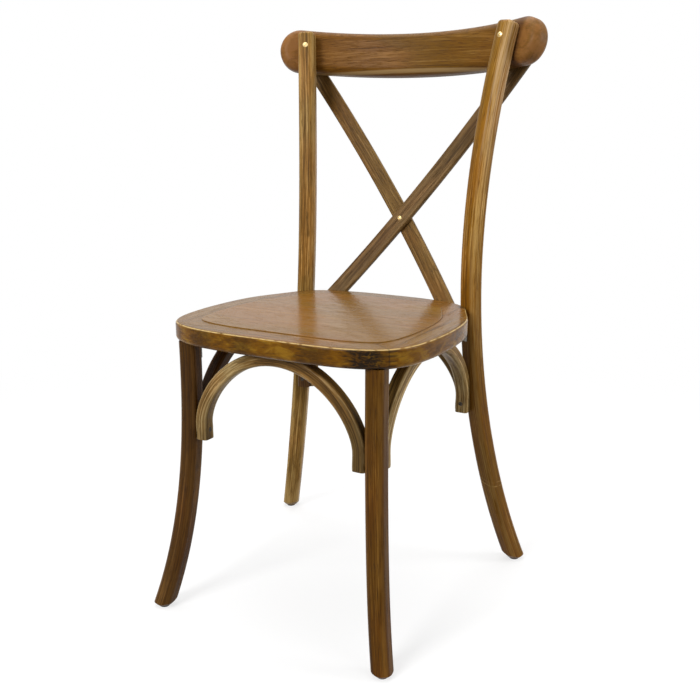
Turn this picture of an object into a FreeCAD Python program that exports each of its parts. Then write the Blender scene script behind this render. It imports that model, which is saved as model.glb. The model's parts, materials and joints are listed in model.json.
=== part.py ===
import FreeCAD, Part
import math
import os

# Cross back chair, in millimetres, +Z up, front of the chair towards -Y.
# Left and right are as seen from the front, so the right side is +X. Every path below is
# for the right side, and the left side is its mirror image.
# While the chair is built, Y is measured from the middle of the seat. At the end it is moved
# so that the origin is on the floor, under the middle of the chair's outer box.

Vector = FreeCAD.Vector
UP = Vector(0, 0, 1)
DOWN = Vector(0, 0, -1)
BACK = Vector(0, 1, 0)
FORWARD = Vector(0, -1, 0)
SIDE = Vector(1, 0, 0)

# Seat
SEAT_TOP = 447.0
SEAT_THICKNESS = 28.0
SEAT_BOTTOM = SEAT_TOP - SEAT_THICKNESS
SEAT_OUTLINE = [
    (0, -191), (55, -191), (104, -188), (145, -178.5), (174, -162), (192, -136), (202, -96),
    (205.5, -46), (203, 12), (192.5, 66), (174, 108), (161, 136), (148, 157), (123, 175.5),
    (75, 188), (0, 192),
]
SEAT_TOP_ROUNDING = 4.0
SEAT_BOTTOM_ROUNDING = 7.0
SEAT_RIM_WIDTH = 38.0
SEAT_LEDGE_WIDTH = 16.0
PANEL_THICKNESS = 9.0
PANEL_PROUD = 1.2
PANEL_GAP = 0.3
PANEL_ROUNDING = 1.0
FRONT_JOINT = ((118, -124), (184, -164))
REAR_JOINT = ((100, 112), (116, 186))
JOINT_STRETCH = 3.0

# Front legs
LEG_SIZE = 28.0
LEG_CORNER = 9.0
FRONT_LEG_PATH = [
    (195.5, -204.0, -12), (176.5, -181.5, 75), (162.5, -163.0, 190),
    (156.5, -154.8, 310), (156.0, -154.0, 425),
]
TENON_DIAMETER = 18.0
TENON_LENGTH = 16.0

# Rear posts, each one bent piece from the foot to the crest rail
POST_SIZE = 28.5
POST_CORNER = 8.5
POST_TURN = 20.0
POST_PATH = [
    (234.8, 225.5, -12), (191.1, 187.6, 160), (165.1, 170.6, 330),
    (154.4, 170.0, 500), (161.2, 188.4, 700), (182.6, 222.5, 884),
]
POST_TOP = 881.0
POST_TOP_ROUNDING = 6.0

# Crest rail, a bent board whose face is part of a leaning cylinder
RAIL_HEIGHT = 71.5
RAIL_THICKNESS = 36.0
RAIL_RADIUS = 445.0
RAIL_LEAN = 12.0
RAIL_APEX = Vector(0, 287.0, 842.2)
RAIL_ARC_LENGTH = 497.0
RAIL_ROUNDING = 14.0

# Crossed slats of the back
SLAT_WIDTH = 28.5
SLAT_THICKNESS = 10.0
SLAT_CORNER = 3.0
SLAT_PATH = [(207.5, 261.8, 845.5), (0, 231, 572), (-121, 175, 421)]
SLAT_LEAN = 12.0

# Bent arches under the seat
ARCH_WIDTH = 21.0
ARCH_THICKNESS = 20.0
ARCH_CORNER = 5.0
ARCH_FOOT = 272.0
ARCH_STRAIGHT = 28.0
ARCH_BEDDING = 2.0
ARCH_POINTS = 13
ARCH_BULGE = 1.25
REAR_ARCH_Y = 168.0
REAR_ARCH_REACH = 147.0
SIDE_ARCH_X = 152.5
SIDE_ARCH_REAR_Y = 156.0

# Sections along each bent bar, and the angles of those around a post's rounded top
LEG_STATIONS = 9
POST_STATIONS = 13
SLAT_STATIONS = 11
ARCH_STATIONS = 31
POST_TOP_ANGLES = (0, 20, 40, 60, 80)

# Fasteners
RAIL_SCREW = {"head": 10.0, "shank": 4.5, "length": 42.0, "dome": 1.8}
CROSS_SCREW = {"head": 8.0, "shank": 3.5, "length": 17.0, "dome": 1.4}
SLAT_SCREW = {"head": 7.5, "shank": 3.5, "length": 24.0, "dome": 0.3}
ARCH_SCREW = {"head": 7.0, "shank": 3.5, "length": 24.0, "dome": 0.3}
BRACKET_SCREW = {"head": 6.5, "shank": 3.0, "length": 14.0, "dome": 1.2}
RAIL_SCREW_HEIGHT = 860.0
SLAT_TOP_SCREW_HEIGHT = 833.0
SLAT_BOTTOM_SCREW_HEIGHT = 433.0
ARCH_SCREW_HEIGHT = 15.0
ARCH_SEAT_SCREW_REACH = 28.0
RECESS_DEPTH = 1.6
RECESS_REACH = 0.52
RECESS_WIDTH = 0.11
BRACKET_WIDTH = 18.0
BRACKET_INWARDS = 4.0
BRACKET_REACH = 28.0
BRACKET_THICKNESS = 2.5
BRACKET_SCREW_PLACE = 17.0
BOLT_HEIGHT = 433.0
BOLT_DIAMETER = 6.0
BOLT_LENGTH = 62.0
BOLT_HEAD_DIAMETER = 13.0
BOLT_HEAD_HEIGHT = 4.0
BOLT_KEY_WIDTH = 4.0
BOLT_SOCKET_DEPTH = 2.4
BOLT_SINK = 1.0
BARREL_NUT_DIAMETER = 10.0
BARREL_NUT_LENGTH = 18.0
BARREL_NUT_PLACE = 54.0

# Glides under the feet
GLIDE_DIAMETER = 16.0
GLIDE_HEIGHT = 4.0
GLIDE_ROUNDING = 1.2
GLIDE_NAIL_DIAMETER = 2.5
GLIDE_NAIL_LENGTH = 16.0
FOOT_END_RADIUS = 11.5

REACH = 600.0


def turned(direction, degrees):
    """A direction turned about the vertical, anticlockwise from above."""
    return FreeCAD.Rotation(UP, degrees).multVec(direction)


def placed(shape, origin, direction):
    """A shape built along +Z, moved to an origin and turned to a direction."""
    moved = shape.copy()
    moved.Placement = FreeCAD.Placement(origin, FreeCAD.Rotation(UP, direction))
    return moved


def mirrored(shape):
    """The same shape on the other side of the chair."""
    return shape.mirror(Vector(0, 0, 0), SIDE)


def both_sides(shape):
    """A shape of the right side with its mirror image."""
    return [shape, mirrored(shape)]


def cut_by(shape, tools):
    """A shape with each of several others taken out of it."""
    for tool in tools:
        shape = shape.cut(tool)
    return shape


def slab(bottom, top):
    """A block over the whole chair between two heights."""
    return Part.makeBox(2 * REACH, 2 * REACH, top - bottom, Vector(-REACH, -REACH, bottom))


def smooth_curve(points):
    curve = Part.BSplineCurve()
    curve.interpolate([Vector(*point) for point in points])
    return curve


def parameter_at_height(path, height):
    """Where a curve passes a height; the curve runs steadily up or steadily down."""
    low, high = path.FirstParameter, path.LastParameter
    rising = path.value(high).z > path.value(low).z
    for _ in range(40):
        middle = (low + high) / 2
        if (path.value(middle).z < height) == rising:
            low = middle
        else:
            high = middle
    return (low + high) / 2


def point_at_height(path, height):
    return path.value(parameter_at_height(path, height))


def squared(direction, tangent):
    """The part of a direction that is square to a tangent, as a unit vector."""
    return (direction - tangent * direction.dot(tangent)).normalize()


def rounded_section(centre, wide, high, width, height, corner):
    """A rounded rectangle; its width lies along wide and its height along high."""
    half_width, half_height = width / 2, height / 2
    bevel = corner * (1 - math.sqrt(0.5))

    def at(across, along):
        return centre + wide * across + high * along

    arcs = []
    for x_sign, y_sign in ((1, 1), (-1, 1), (-1, -1), (1, -1)):
        on_side = at(x_sign * half_width, y_sign * (half_height - corner))
        on_bevel = at(x_sign * (half_width - bevel), y_sign * (half_height - bevel))
        on_end = at(x_sign * (half_width - corner), y_sign * half_height)
        first, last = (on_side, on_end) if x_sign == y_sign else (on_end, on_side)
        arcs.append((first, on_bevel, last))
    edges = []
    for index, (first, on_bevel, last) in enumerate(arcs):
        following = arcs[(index + 1) % len(arcs)][0]
        edges.append(Part.Arc(first, on_bevel, last).toShape())
        edges.append(Part.makeLine(last, following))
    return Part.Wire(edges)


def bent_bar(path, stations, across, width, thickness, corner):
    """A bar of one rounded section along a curve, its width along the direction across."""
    start, end = path.FirstParameter, path.LastParameter
    sections = []
    for index in range(stations):
        parameter = start + (end - start) * index / (stations - 1)
        tangent = path.tangent(parameter)[0]
        wide = squared(across, tangent)
        high = tangent.cross(wide)
        centre = path.value(parameter)
        sections.append(rounded_section(centre, wide, high, width, thickness, corner))
    return Part.makeLoft(sections, True, False)


def screw_blank(head, shank, length, dome):
    """A countersunk screw without its recess, the wood's face at Z = 0 and the head below."""
    cone = (head - shank) / 2
    if dome > 0.5:
        radius = (head ** 2 / 4 + dome ** 2) / (2 * dome)
        ball = Part.makeSphere(radius, Vector(0, 0, radius - dome))
        cap = ball.common(Part.makeCylinder(head / 2, dome, Vector(0, 0, -dome)))
    else:
        cap = Part.makeCylinder(head / 2, dome, Vector(0, 0, -dome))
    neck = Part.makeCone(head / 2, shank / 2, cone)
    stem = Part.makeCylinder(shank / 2, length - cone - shank, Vector(0, 0, cone))
    tip = Part.makeCone(shank / 2, shank / 8, shank, Vector(0, 0, length - shank))
    return cap.fuse([neck, stem, tip]).removeSplitter()


def cross_recess(head, dome):
    """The cross-shaped recess in a screw's head, as two crossing slots."""
    long_side, short_side = head * RECESS_REACH, head * RECESS_WIDTH
    slots = []
    for size_x, size_y in ((long_side, short_side), (short_side, long_side)):
        corner = Vector(-size_x / 2, -size_y / 2, -dome)
        slots.append(Part.makeBox(size_x, size_y, RECESS_DEPTH, corner))
    return slots


def screws(kind, places):
    """Screws of one kind at several places, and the holes that the wood has for them."""
    blank = screw_blank(kind["head"], kind["shank"], kind["length"], kind["dome"])
    screw = cut_by(blank, cross_recess(kind["head"], kind["dome"]))
    solids = [placed(screw, point, direction) for point, direction in places]
    holes = [placed(blank, point, direction) for point, direction in places]
    return solids, holes


def mirrored_places(places):
    """Screw places of the right side with those of the left side."""
    result = list(places)
    for point, direction in places:
        flipped = Vector(-direction.x, direction.y, direction.z)
        result.append((Vector(-point.x, point.y, point.z), flipped))
    return result


def half_curve(points):
    """A smooth curve through points, from the front's middle to the rear's middle."""
    curve = Part.BSplineCurve()
    curve.interpolate(Points=points, InitialTangent=SIDE, FinalTangent=SIDE * -1)
    return curve


def seat_prism(inset, bottom, top):
    """The seat's outline, moved inwards by an inset, as a solid between two heights."""
    curve = half_curve([Vector(x, y, bottom) for x, y in SEAT_OUTLINE])
    if inset:
        start, end = curve.FirstParameter, curve.LastParameter
        count = 2 * len(SEAT_OUTLINE)
        points = []
        for index in range(count + 1):
            parameter = start + (end - start) * index / count
            inward = UP.cross(curve.tangent(parameter)[0])
            points.append(curve.value(parameter) + inward * inset)
        curve = half_curve(points)
    face = Part.Face(Part.Wire(both_sides(curve.toShape())))
    return face.extrude(Vector(0, 0, top - bottom))


def level_edges(shape, height):
    """The edges of a shape that lie flat at a height."""
    found = []
    for edge in shape.Edges:
        box = edge.BoundBox
        if abs(box.ZMin - height) < 0.01 and abs(box.ZMax - height) < 0.01:
            found.append(edge)
    return found


def seat_ring():
    """The seat frame before it is divided: a rounded slab with an opening and a ledge."""
    ring = seat_prism(0, SEAT_BOTTOM, SEAT_TOP)
    ring = ring.makeFillet(SEAT_TOP_ROUNDING, level_edges(ring, SEAT_TOP))
    ring = ring.makeFillet(SEAT_BOTTOM_ROUNDING, level_edges(ring, SEAT_BOTTOM))
    ledge = SEAT_TOP + PANEL_PROUD - PANEL_THICKNESS
    opening = seat_prism(SEAT_RIM_WIDTH + SEAT_LEDGE_WIDTH, SEAT_BOTTOM, SEAT_TOP)
    rebate = seat_prism(SEAT_RIM_WIDTH, ledge, SEAT_TOP)
    return ring.cut(opening).cut(rebate)


def seat_sector(joint, towards):
    """The space of the front or rear rail, between its corner joints and past their ends."""
    (inner_x, inner_y), (outer_x, outer_y) = joint
    far_x = inner_x + (outer_x - inner_x) * JOINT_STRETCH
    far_y = inner_y + (outer_y - inner_y) * JOINT_STRETCH
    corners = [(inner_x, inner_y), (far_x, far_y), (far_x, towards), (-far_x, towards),
               (-far_x, far_y), (-inner_x, inner_y), (inner_x, inner_y)]
    outline = Part.makePolygon([Vector(x, y, SEAT_BOTTOM) for x, y in corners])
    return Part.Face(outline).extrude(Vector(0, 0, SEAT_THICKNESS))


def seat_rails():
    """The four pieces of the seat frame."""
    ring = seat_ring()
    front_space = seat_sector(FRONT_JOINT, -REACH)
    rear_space = seat_sector(REAR_JOINT, REACH)
    right_space = Part.makeBox(REACH, 2 * REACH, SEAT_THICKNESS, Vector(0, -REACH, SEAT_BOTTOM))
    side = ring.common(right_space).cut(front_space).cut(rear_space)
    return {
        "seat_front_rail": ring.common(front_space),
        "seat_rear_rail": ring.common(rear_space),
        "seat_side_rail_right": side,
        "seat_side_rail_left": mirrored(side),
    }


def seat_panel():
    top = SEAT_TOP + PANEL_PROUD
    panel = seat_prism(SEAT_RIM_WIDTH + PANEL_GAP, top - PANEL_THICKNESS, top)
    return panel.makeFillet(PANEL_ROUNDING, level_edges(panel, top))


def foot_cut(leg, foot):
    """A leg cut level above its glide, with a bevel around the end."""
    leg = leg.cut(slab(-40, GLIDE_HEIGHT))
    height = 2 * FOOT_END_RADIUS
    base = Vector(foot.x, foot.y, GLIDE_HEIGHT)
    keep = Part.makeCone(FOOT_END_RADIUS, FOOT_END_RADIUS + height, height, base)
    block = Part.makeCylinder(FOOT_END_RADIUS + 2 * height, height, base)
    return leg.cut(block.cut(keep))


def front_leg():
    curve = smooth_curve(FRONT_LEG_PATH)
    bar = bent_bar(curve, LEG_STATIONS, SIDE, LEG_SIZE, LEG_SIZE, LEG_CORNER)
    leg = foot_cut(bar, point_at_height(curve, GLIDE_HEIGHT))
    leg = leg.cut(slab(SEAT_BOTTOM, SEAT_TOP))
    tenon = Part.makeCylinder(TENON_DIAMETER / 2, TENON_LENGTH, front_leg_head())
    return leg.fuse(tenon)


def front_leg_head():
    """The middle of a front leg where it meets the seat."""
    return point_at_height(smooth_curve(FRONT_LEG_PATH), SEAT_BOTTOM)


def post_back():
    """The direction that a right rear post's back face looks in."""
    return turned(BACK, -POST_TURN)


def post_centre(height):
    return point_at_height(smooth_curve(POST_PATH), height)


def rounded_end(path, across, size, corner, rounding):
    """A short cap on the upper end of a square bar, its top edges rounded over."""
    end = path.LastParameter
    tangent = path.tangent(end)[0]
    wide = squared(across, tangent)
    high = tangent.cross(wide)
    sections = []
    for degrees in POST_TOP_ANGLES:
        angle = math.radians(degrees)
        inset = rounding * (1 - math.cos(angle))
        centre = path.value(end) + tangent * (rounding * math.sin(angle))
        side = size - 2 * inset
        sections.append(rounded_section(centre, wide, high, side, side, corner - inset))
    return Part.makeLoft(sections, True, False)


def rear_post():
    curve = smooth_curve(POST_PATH)
    curve.segment(curve.FirstParameter, parameter_at_height(curve, POST_TOP - POST_TOP_ROUNDING))
    across = turned(SIDE, -POST_TURN)
    bar = bent_bar(curve, POST_STATIONS, across, POST_SIZE, POST_SIZE, POST_CORNER)
    cap = rounded_end(curve, across, POST_SIZE, POST_CORNER, POST_TOP_ROUNDING)
    return foot_cut(bar.fuse(cap), post_centre(GLIDE_HEIGHT))


def crest_rail():
    """The bent board, upright and bent about the Z axis first, then leaned back.

    Its ends are the same section turned about the middle of the board's height.
    """
    bend_centre = Vector(0, -RAIL_RADIUS, 0)
    half_angle = math.degrees((RAIL_ARC_LENGTH / 2 - RAIL_HEIGHT / 2) / RAIL_RADIUS)
    section = Part.Face(rounded_section(Vector(0, 0, 0), BACK, UP, RAIL_THICKNESS, RAIL_HEIGHT,
                                        RAIL_ROUNDING))
    start = section.copy()
    start.rotate(bend_centre, UP, half_angle)
    rail = start.revolve(bend_centre, UP, -2 * half_angle)
    upper_half = section.common(Part.makeBox(2, 100, 100, Vector(-1, -50, 0)))
    end = upper_half.revolve(Vector(0, 0, 0), BACK, 180)
    end.rotate(bend_centre, UP, -half_angle)
    rail = rail.fuse(both_sides(end)).removeSplitter()
    rail.rotate(Vector(0, 0, 0), SIDE, -RAIL_LEAN)
    rail.translate(RAIL_APEX)
    return rail


def slat_curve(shift):
    """The path of a slat, moved back by a shift where it crosses the other one."""
    top, crossing, bottom = SLAT_PATH
    middle = (crossing[0], crossing[1] + shift, crossing[2])
    return smooth_curve([top, middle, bottom])


def cross_slat(shift):
    curve = slat_curve(shift)
    chord = Vector(*SLAT_PATH[0]) - Vector(*SLAT_PATH[-1])
    back = FreeCAD.Rotation(SIDE, -SLAT_LEAN).multVec(BACK)
    across = chord.cross(back).normalize()
    return bent_bar(curve, SLAT_STATIONS, across, SLAT_WIDTH, SLAT_THICKNESS, SLAT_CORNER)


def arch(foot_a, foot_b):
    """A bent arch between two feet, up to the underside of the seat."""
    crown = SEAT_BOTTOM + ARCH_BEDDING - ARCH_THICKNESS / 2
    rise = crown - ARCH_FOOT - ARCH_STRAIGHT
    middle = (foot_a + foot_b) / 2
    half_span = (foot_b - foot_a) / 2
    straight_heights = (ARCH_FOOT, ARCH_FOOT + ARCH_STRAIGHT / 3, ARCH_FOOT + ARCH_STRAIGHT * 2 / 3)
    points = [Vector(foot_a.x, foot_a.y, height) for height in straight_heights]
    for index in range(ARCH_POINTS):
        angle = math.radians(-90 + 180 * index / (ARCH_POINTS - 1))
        height = ARCH_FOOT + ARCH_STRAIGHT + rise * max(math.cos(angle), 0) ** ARCH_BULGE
        point = middle + half_span * math.sin(angle)
        points.append(Vector(point.x, point.y, height))
    points.extend(Vector(foot_b.x, foot_b.y, height) for height in reversed(straight_heights))
    across = half_span.cross(UP).normalize()
    curve = smooth_curve(points)
    bar = bent_bar(curve, ARCH_STATIONS, across, ARCH_WIDTH, ARCH_THICKNESS, ARCH_CORNER)
    return bar.cut(slab(SEAT_BOTTOM, SEAT_TOP))


def leg_beside_arches():
    """The middle of a front leg at the height of the screws in the arches' feet."""
    return point_at_height(smooth_curve(FRONT_LEG_PATH), ARCH_FOOT + ARCH_SCREW_HEIGHT)


def front_arch_feet():
    leg = leg_beside_arches()
    reach = leg.x - (LEG_SIZE + ARCH_THICKNESS) / 2
    return Vector(-reach, leg.y, ARCH_FOOT), Vector(reach, leg.y, ARCH_FOOT)


def rear_arch_feet():
    return (Vector(-REAR_ARCH_REACH, REAR_ARCH_Y, ARCH_FOOT),
            Vector(REAR_ARCH_REACH, REAR_ARCH_Y, ARCH_FOOT))


def side_arch_feet():
    front_y = leg_beside_arches().y + (LEG_SIZE + ARCH_THICKNESS) / 2
    return (Vector(SIDE_ARCH_X, front_y, ARCH_FOOT),
            Vector(SIDE_ARCH_X, SIDE_ARCH_REAR_Y, ARCH_FOOT))


def arch_screw_places(foot_a, foot_b):
    """Screws from inside an arch's two ends out into the legs, and two up into the seat."""
    run = (foot_b - foot_a).normalize()
    lift = Vector(0, 0, ARCH_SCREW_HEIGHT)
    into_legs = [(foot_a + lift + run * (ARCH_THICKNESS / 2), run * -1),
                 (foot_b + lift - run * (ARCH_THICKNESS / 2), run)]
    crown = (foot_a + foot_b) / 2
    crown.z = SEAT_BOTTOM + ARCH_BEDDING - ARCH_THICKNESS
    into_seat = [(crown + run * (side * ARCH_SEAT_SCREW_REACH), UP) for side in (-1, 1)]
    return into_legs, into_seat


def bracket():
    """An angle bracket in the corner at the origin: one leg down -Z, one leg out along -Y."""
    size, gauge = BRACKET_REACH, BRACKET_THICKNESS
    corners = [(0, 0), (0, -size), (-gauge, -size), (-gauge, -gauge), (-size, -gauge),
               (-size, 0), (0, 0)]
    outline = Part.makePolygon([Vector(-BRACKET_WIDTH / 2, y, z) for y, z in corners])
    plate = Part.Face(outline).extrude(Vector(BRACKET_WIDTH, 0, 0))
    inner = []
    for edge in plate.Edges:
        middle = edge.CenterOfMass
        if abs(middle.y + gauge) < 0.01 and abs(middle.z + gauge) < 0.01:
            inner.append(edge)
    return plate.makeFillet(gauge, inner)


def bracket_at(face_point, outward):
    """A bracket on a leg's face under the seat, and the places of its two screws."""
    plate = bracket()
    turn = math.degrees(math.atan2(outward.x, -outward.y))
    plate.Placement = FreeCAD.Placement(face_point, FreeCAD.Rotation(UP, turn))
    on_leg = face_point + outward * BRACKET_THICKNESS + DOWN * BRACKET_SCREW_PLACE
    on_seat = face_point + outward * BRACKET_SCREW_PLACE + DOWN * BRACKET_THICKNESS
    return plate, [(on_leg, outward * -1), (on_seat, UP)]


def brackets():
    """The brackets of one side: behind the front leg and before the rear post."""
    leg_point = front_leg_head() + BACK * (LEG_SIZE / 2)
    post_point = post_centre(SEAT_BOTTOM) - post_back() * (POST_SIZE / 2)
    post_point = post_point - turned(SIDE, -POST_TURN) * BRACKET_INWARDS
    plates, places = [], []
    for point, outward in ((leg_point, BACK), (post_point, post_back() * -1)):
        plate, screw_places = bracket_at(point, outward)
        plates.append(plate)
        places.extend(screw_places)
    return plates, places


def post_bolt_mouth():
    """Where a bolt passes the post's back face."""
    return post_centre(BOLT_HEIGHT) + post_back() * (POST_SIZE / 2)


def post_bolt():
    """A bolt through a rear post into the seat frame, its head sunk in the back face."""
    head = Part.makeCylinder(BOLT_HEAD_DIAMETER / 2, BOLT_HEAD_HEIGHT)
    stem = Part.makeCylinder(BOLT_DIAMETER / 2, BOLT_LENGTH, Vector(0, 0, BOLT_HEAD_HEIGHT))
    corners = []
    for side in range(7):
        angle = math.radians(60 * side)
        radius = BOLT_KEY_WIDTH / math.sqrt(3)
        corners.append(Vector(radius * math.cos(angle), radius * math.sin(angle), 0))
    socket = Part.Face(Part.makePolygon(corners)).extrude(Vector(0, 0, BOLT_SOCKET_DEPTH))
    mouth = Part.makeCylinder(BOLT_HEAD_DIAMETER / 2, 2 * BOLT_SINK, Vector(0, 0, -2 * BOLT_SINK))
    bolt = head.fuse(stem)
    start = post_bolt_mouth() - post_back() * BOLT_SINK
    forward = post_back() * -1
    return placed(bolt.cut(socket), start, forward), placed(bolt.fuse(mouth), start, forward)


def barrel_nut():
    """The cross nut in the seat frame that a post bolt screws into, from below."""
    place = post_bolt_mouth() - post_back() * BARREL_NUT_PLACE
    bottom = Vector(place.x, place.y, BOLT_HEIGHT - BARREL_NUT_LENGTH / 2)
    return Part.makeCylinder(BARREL_NUT_DIAMETER / 2, BARREL_NUT_LENGTH, bottom)


def glide(foot):
    """A round glide and its nail under the middle of a foot."""
    base = Vector(foot.x, foot.y, 0)
    pad = Part.makeCylinder(GLIDE_DIAMETER / 2, GLIDE_HEIGHT, base)
    pad = pad.makeFillet(GLIDE_ROUNDING, level_edges(pad, 0))
    nail_start = Vector(foot.x, foot.y, GLIDE_HEIGHT / 2)
    nail = Part.makeCylinder(GLIDE_NAIL_DIAMETER / 2, GLIDE_NAIL_LENGTH, nail_start)
    return pad.cut(nail), nail


def build():
    rail = crest_rail()
    slat_front = cross_slat(-SLAT_THICKNESS / 2)
    slat_rear = mirrored(cross_slat(SLAT_THICKNESS / 2))
    seat = seat_rails()
    panel = seat_panel()
    leg = front_leg()
    post = rear_post().cut(rail)
    slat_front = slat_front.cut(rail).cut(slat_rear)
    slat_rear = slat_rear.cut(rail)

    posts = both_sides(post)
    legs = both_sides(leg)
    for name in seat:
        seat[name] = cut_by(seat[name], posts + legs + [slat_front, slat_rear])

    side_feet = side_arch_feet()
    arch_front = cut_by(arch(*front_arch_feet()), legs)
    arch_rear = cut_by(arch(*rear_arch_feet()), posts)
    arch_side = arch(*side_feet).cut(leg).cut(post)

    rail_point = post_centre(RAIL_SCREW_HEIGHT) - post_back() * (POST_SIZE / 2)
    rail_screws, rail_holes = screws(RAIL_SCREW, mirrored_places([(rail_point, post_back())]))

    crossing = Vector(*SLAT_PATH[1])
    lean_back = FreeCAD.Rotation(SIDE, -SLAT_LEAN).multVec(BACK)
    cross_screws, cross_holes = screws(
        CROSS_SCREW, [(crossing - lean_back * SLAT_THICKNESS, lean_back)])

    top_places, bottom_places = [], []
    for sign, shift in ((1, -SLAT_THICKNESS / 2), (-1, SLAT_THICKNESS / 2)):
        curve = slat_curve(shift)
        upper = point_at_height(curve, SLAT_TOP_SCREW_HEIGHT)
        lower = point_at_height(curve, SLAT_BOTTOM_SCREW_HEIGHT)
        upper = Vector(sign * upper.x, upper.y, upper.z) + lean_back * (SLAT_THICKNESS / 2)
        lower = Vector(sign * lower.x, lower.y, lower.z) + BACK * (SLAT_THICKNESS / 2)
        top_places.append((upper, lean_back * -1))
        bottom_places.append((lower, FORWARD))
    slat_top_screws, slat_top_holes = screws(SLAT_SCREW, top_places)
    slat_bottom_screws, slat_bottom_holes = screws(SLAT_SCREW, bottom_places)

    leg_places, seat_places = [], []
    for feet in (front_arch_feet(), rear_arch_feet(), side_feet):
        into_legs, into_seat = arch_screw_places(*feet)
        if feet is side_feet:
            into_legs, into_seat = mirrored_places(into_legs), mirrored_places(into_seat)
        leg_places.extend(into_legs)
        seat_places.extend(into_seat)
    arch_leg_screws, arch_leg_holes = screws(ARCH_SCREW, leg_places)
    arch_seat_screws, arch_seat_holes = screws(ARCH_SCREW, seat_places)

    plates, plate_places = brackets()
    bracket_screws, bracket_holes = screws(BRACKET_SCREW, mirrored_places(plate_places))
    plates = plates + [mirrored(plate) for plate in plates]

    bolt, bolt_room = post_bolt()
    nut = barrel_nut().cut(bolt_room)
    nut_room = barrel_nut()
    bolt_rooms = both_sides(bolt_room) + both_sides(nut_room)

    leg_glide, leg_nail = glide(point_at_height(smooth_curve(FRONT_LEG_PATH), GLIDE_HEIGHT))
    post_glide, post_nail = glide(post_centre(GLIDE_HEIGHT))
    nails = both_sides(leg_nail) + both_sides(post_nail)

    posts = [cut_by(wood, plates + rail_holes + arch_leg_holes + bracket_holes + bolt_rooms + nails)
             for wood in posts]
    legs = [cut_by(wood, plates + arch_leg_holes + bracket_holes + nails) for wood in legs]
    for name in seat:
        seat[name] = cut_by(seat[name], slat_bottom_holes + arch_seat_holes + bracket_holes
                            + bolt_rooms)
    arch_holes = arch_leg_holes + arch_seat_holes
    plates = [cut_by(plate, bracket_holes) for plate in plates]

    nodes = {
        "crest_rail": [cut_by(rail, rail_holes + slat_top_holes)],
        "rear_post_right": [posts[0]],
        "rear_post_left": [posts[1]],
        "cross_slat_front": [cut_by(slat_front, cross_holes + slat_top_holes
                                    + slat_bottom_holes)],
        "cross_slat_rear": [cut_by(slat_rear, cross_holes + slat_top_holes
                                   + slat_bottom_holes)],
        "seat_panel": [panel],
        "front_leg_right": [legs[0]],
        "front_leg_left": [legs[1]],
        "front_arch": [cut_by(arch_front, arch_holes)],
        "rear_arch": [cut_by(arch_rear, arch_holes)],
        "side_arch_right": [cut_by(arch_side, arch_holes)],
        "side_arch_left": [cut_by(mirrored(arch_side), arch_holes)],
        "rail_screws": rail_screws,
        "cross_screw": cross_screws,
        "slat_top_screws": slat_top_screws,
        "slat_bottom_screws": slat_bottom_screws,
        "arch_leg_screws": arch_leg_screws,
        "arch_seat_screws": arch_seat_screws,
        "leg_brackets": plates,
        "bracket_screws": bracket_screws,
        "post_bolts": both_sides(bolt),
        "post_bolt_nuts": both_sides(nut),
        "glide_pads": both_sides(leg_glide) + both_sides(post_glide),
        "glide_nails": nails,
    }
    for name, piece in seat.items():
        nodes[name] = [piece]
    return nodes


def export(nodes):
    """Move the origin under the middle of the outer box, and write one file per node."""
    everything = Part.makeCompound([solid for solids in nodes.values() for solid in solids])
    box = everything.optimalBoundingBox(False)
    to_origin = Vector(-(box.XMin + box.XMax) / 2, -(box.YMin + box.YMax) / 2, -box.ZMin)
    print("outer box", round(box.XLength, 1), round(box.YLength, 1), round(box.ZLength, 1))
    print("moved by", round(to_origin.x, 3), round(to_origin.y, 3), round(to_origin.z, 3))
    os.makedirs("parts", exist_ok=True)
    for name, solids in sorted(nodes.items()):
        pieces = []
        for solid in solids:
            for piece in solid.Solids:
                piece.translate(to_origin)
                pieces.append(piece)
        shape = pieces[0] if len(pieces) == 1 else Part.makeCompound(pieces)
        shape.exportStep(os.path.join("parts", name + ".step"))
        print(name, len(pieces), shape.isValid(), round(shape.Volume / 1000, 2))


export(build())
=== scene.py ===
"""Cross back chair: the looks of its wood, brass, steel and plastic, and the studio around it.

Everything is in metres, +Z up, front of the chair towards -Y, origin on the floor.
"""

import json
import math

import bpy
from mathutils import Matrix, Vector

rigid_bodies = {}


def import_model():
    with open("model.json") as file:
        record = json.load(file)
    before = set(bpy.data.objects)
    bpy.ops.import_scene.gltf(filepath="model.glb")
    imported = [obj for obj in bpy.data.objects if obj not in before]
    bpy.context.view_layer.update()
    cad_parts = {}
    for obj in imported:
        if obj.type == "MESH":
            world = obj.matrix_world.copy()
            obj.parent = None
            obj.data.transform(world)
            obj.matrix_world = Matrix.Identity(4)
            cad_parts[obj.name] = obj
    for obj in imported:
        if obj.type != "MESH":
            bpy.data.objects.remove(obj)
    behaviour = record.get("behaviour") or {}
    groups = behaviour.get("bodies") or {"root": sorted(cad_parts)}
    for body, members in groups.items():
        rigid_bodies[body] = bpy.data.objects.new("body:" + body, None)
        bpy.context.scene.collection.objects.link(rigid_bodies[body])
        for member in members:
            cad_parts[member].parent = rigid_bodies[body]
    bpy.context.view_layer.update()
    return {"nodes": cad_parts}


# Camera, as fitted to the photograph
CAMERA_PLACE = (0.6804, -1.2034, 0.7222)
CAMERA_TURN = 29.443
CAMERA_TILT = 13.903
CAMERA_LENS = 46.0
CAMERA_SENSOR = 36.0

# The chair's depth origin: the middle of the seat is this far in front of the frame's origin
SEAT_MIDDLE_Y = -0.0482

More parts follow.
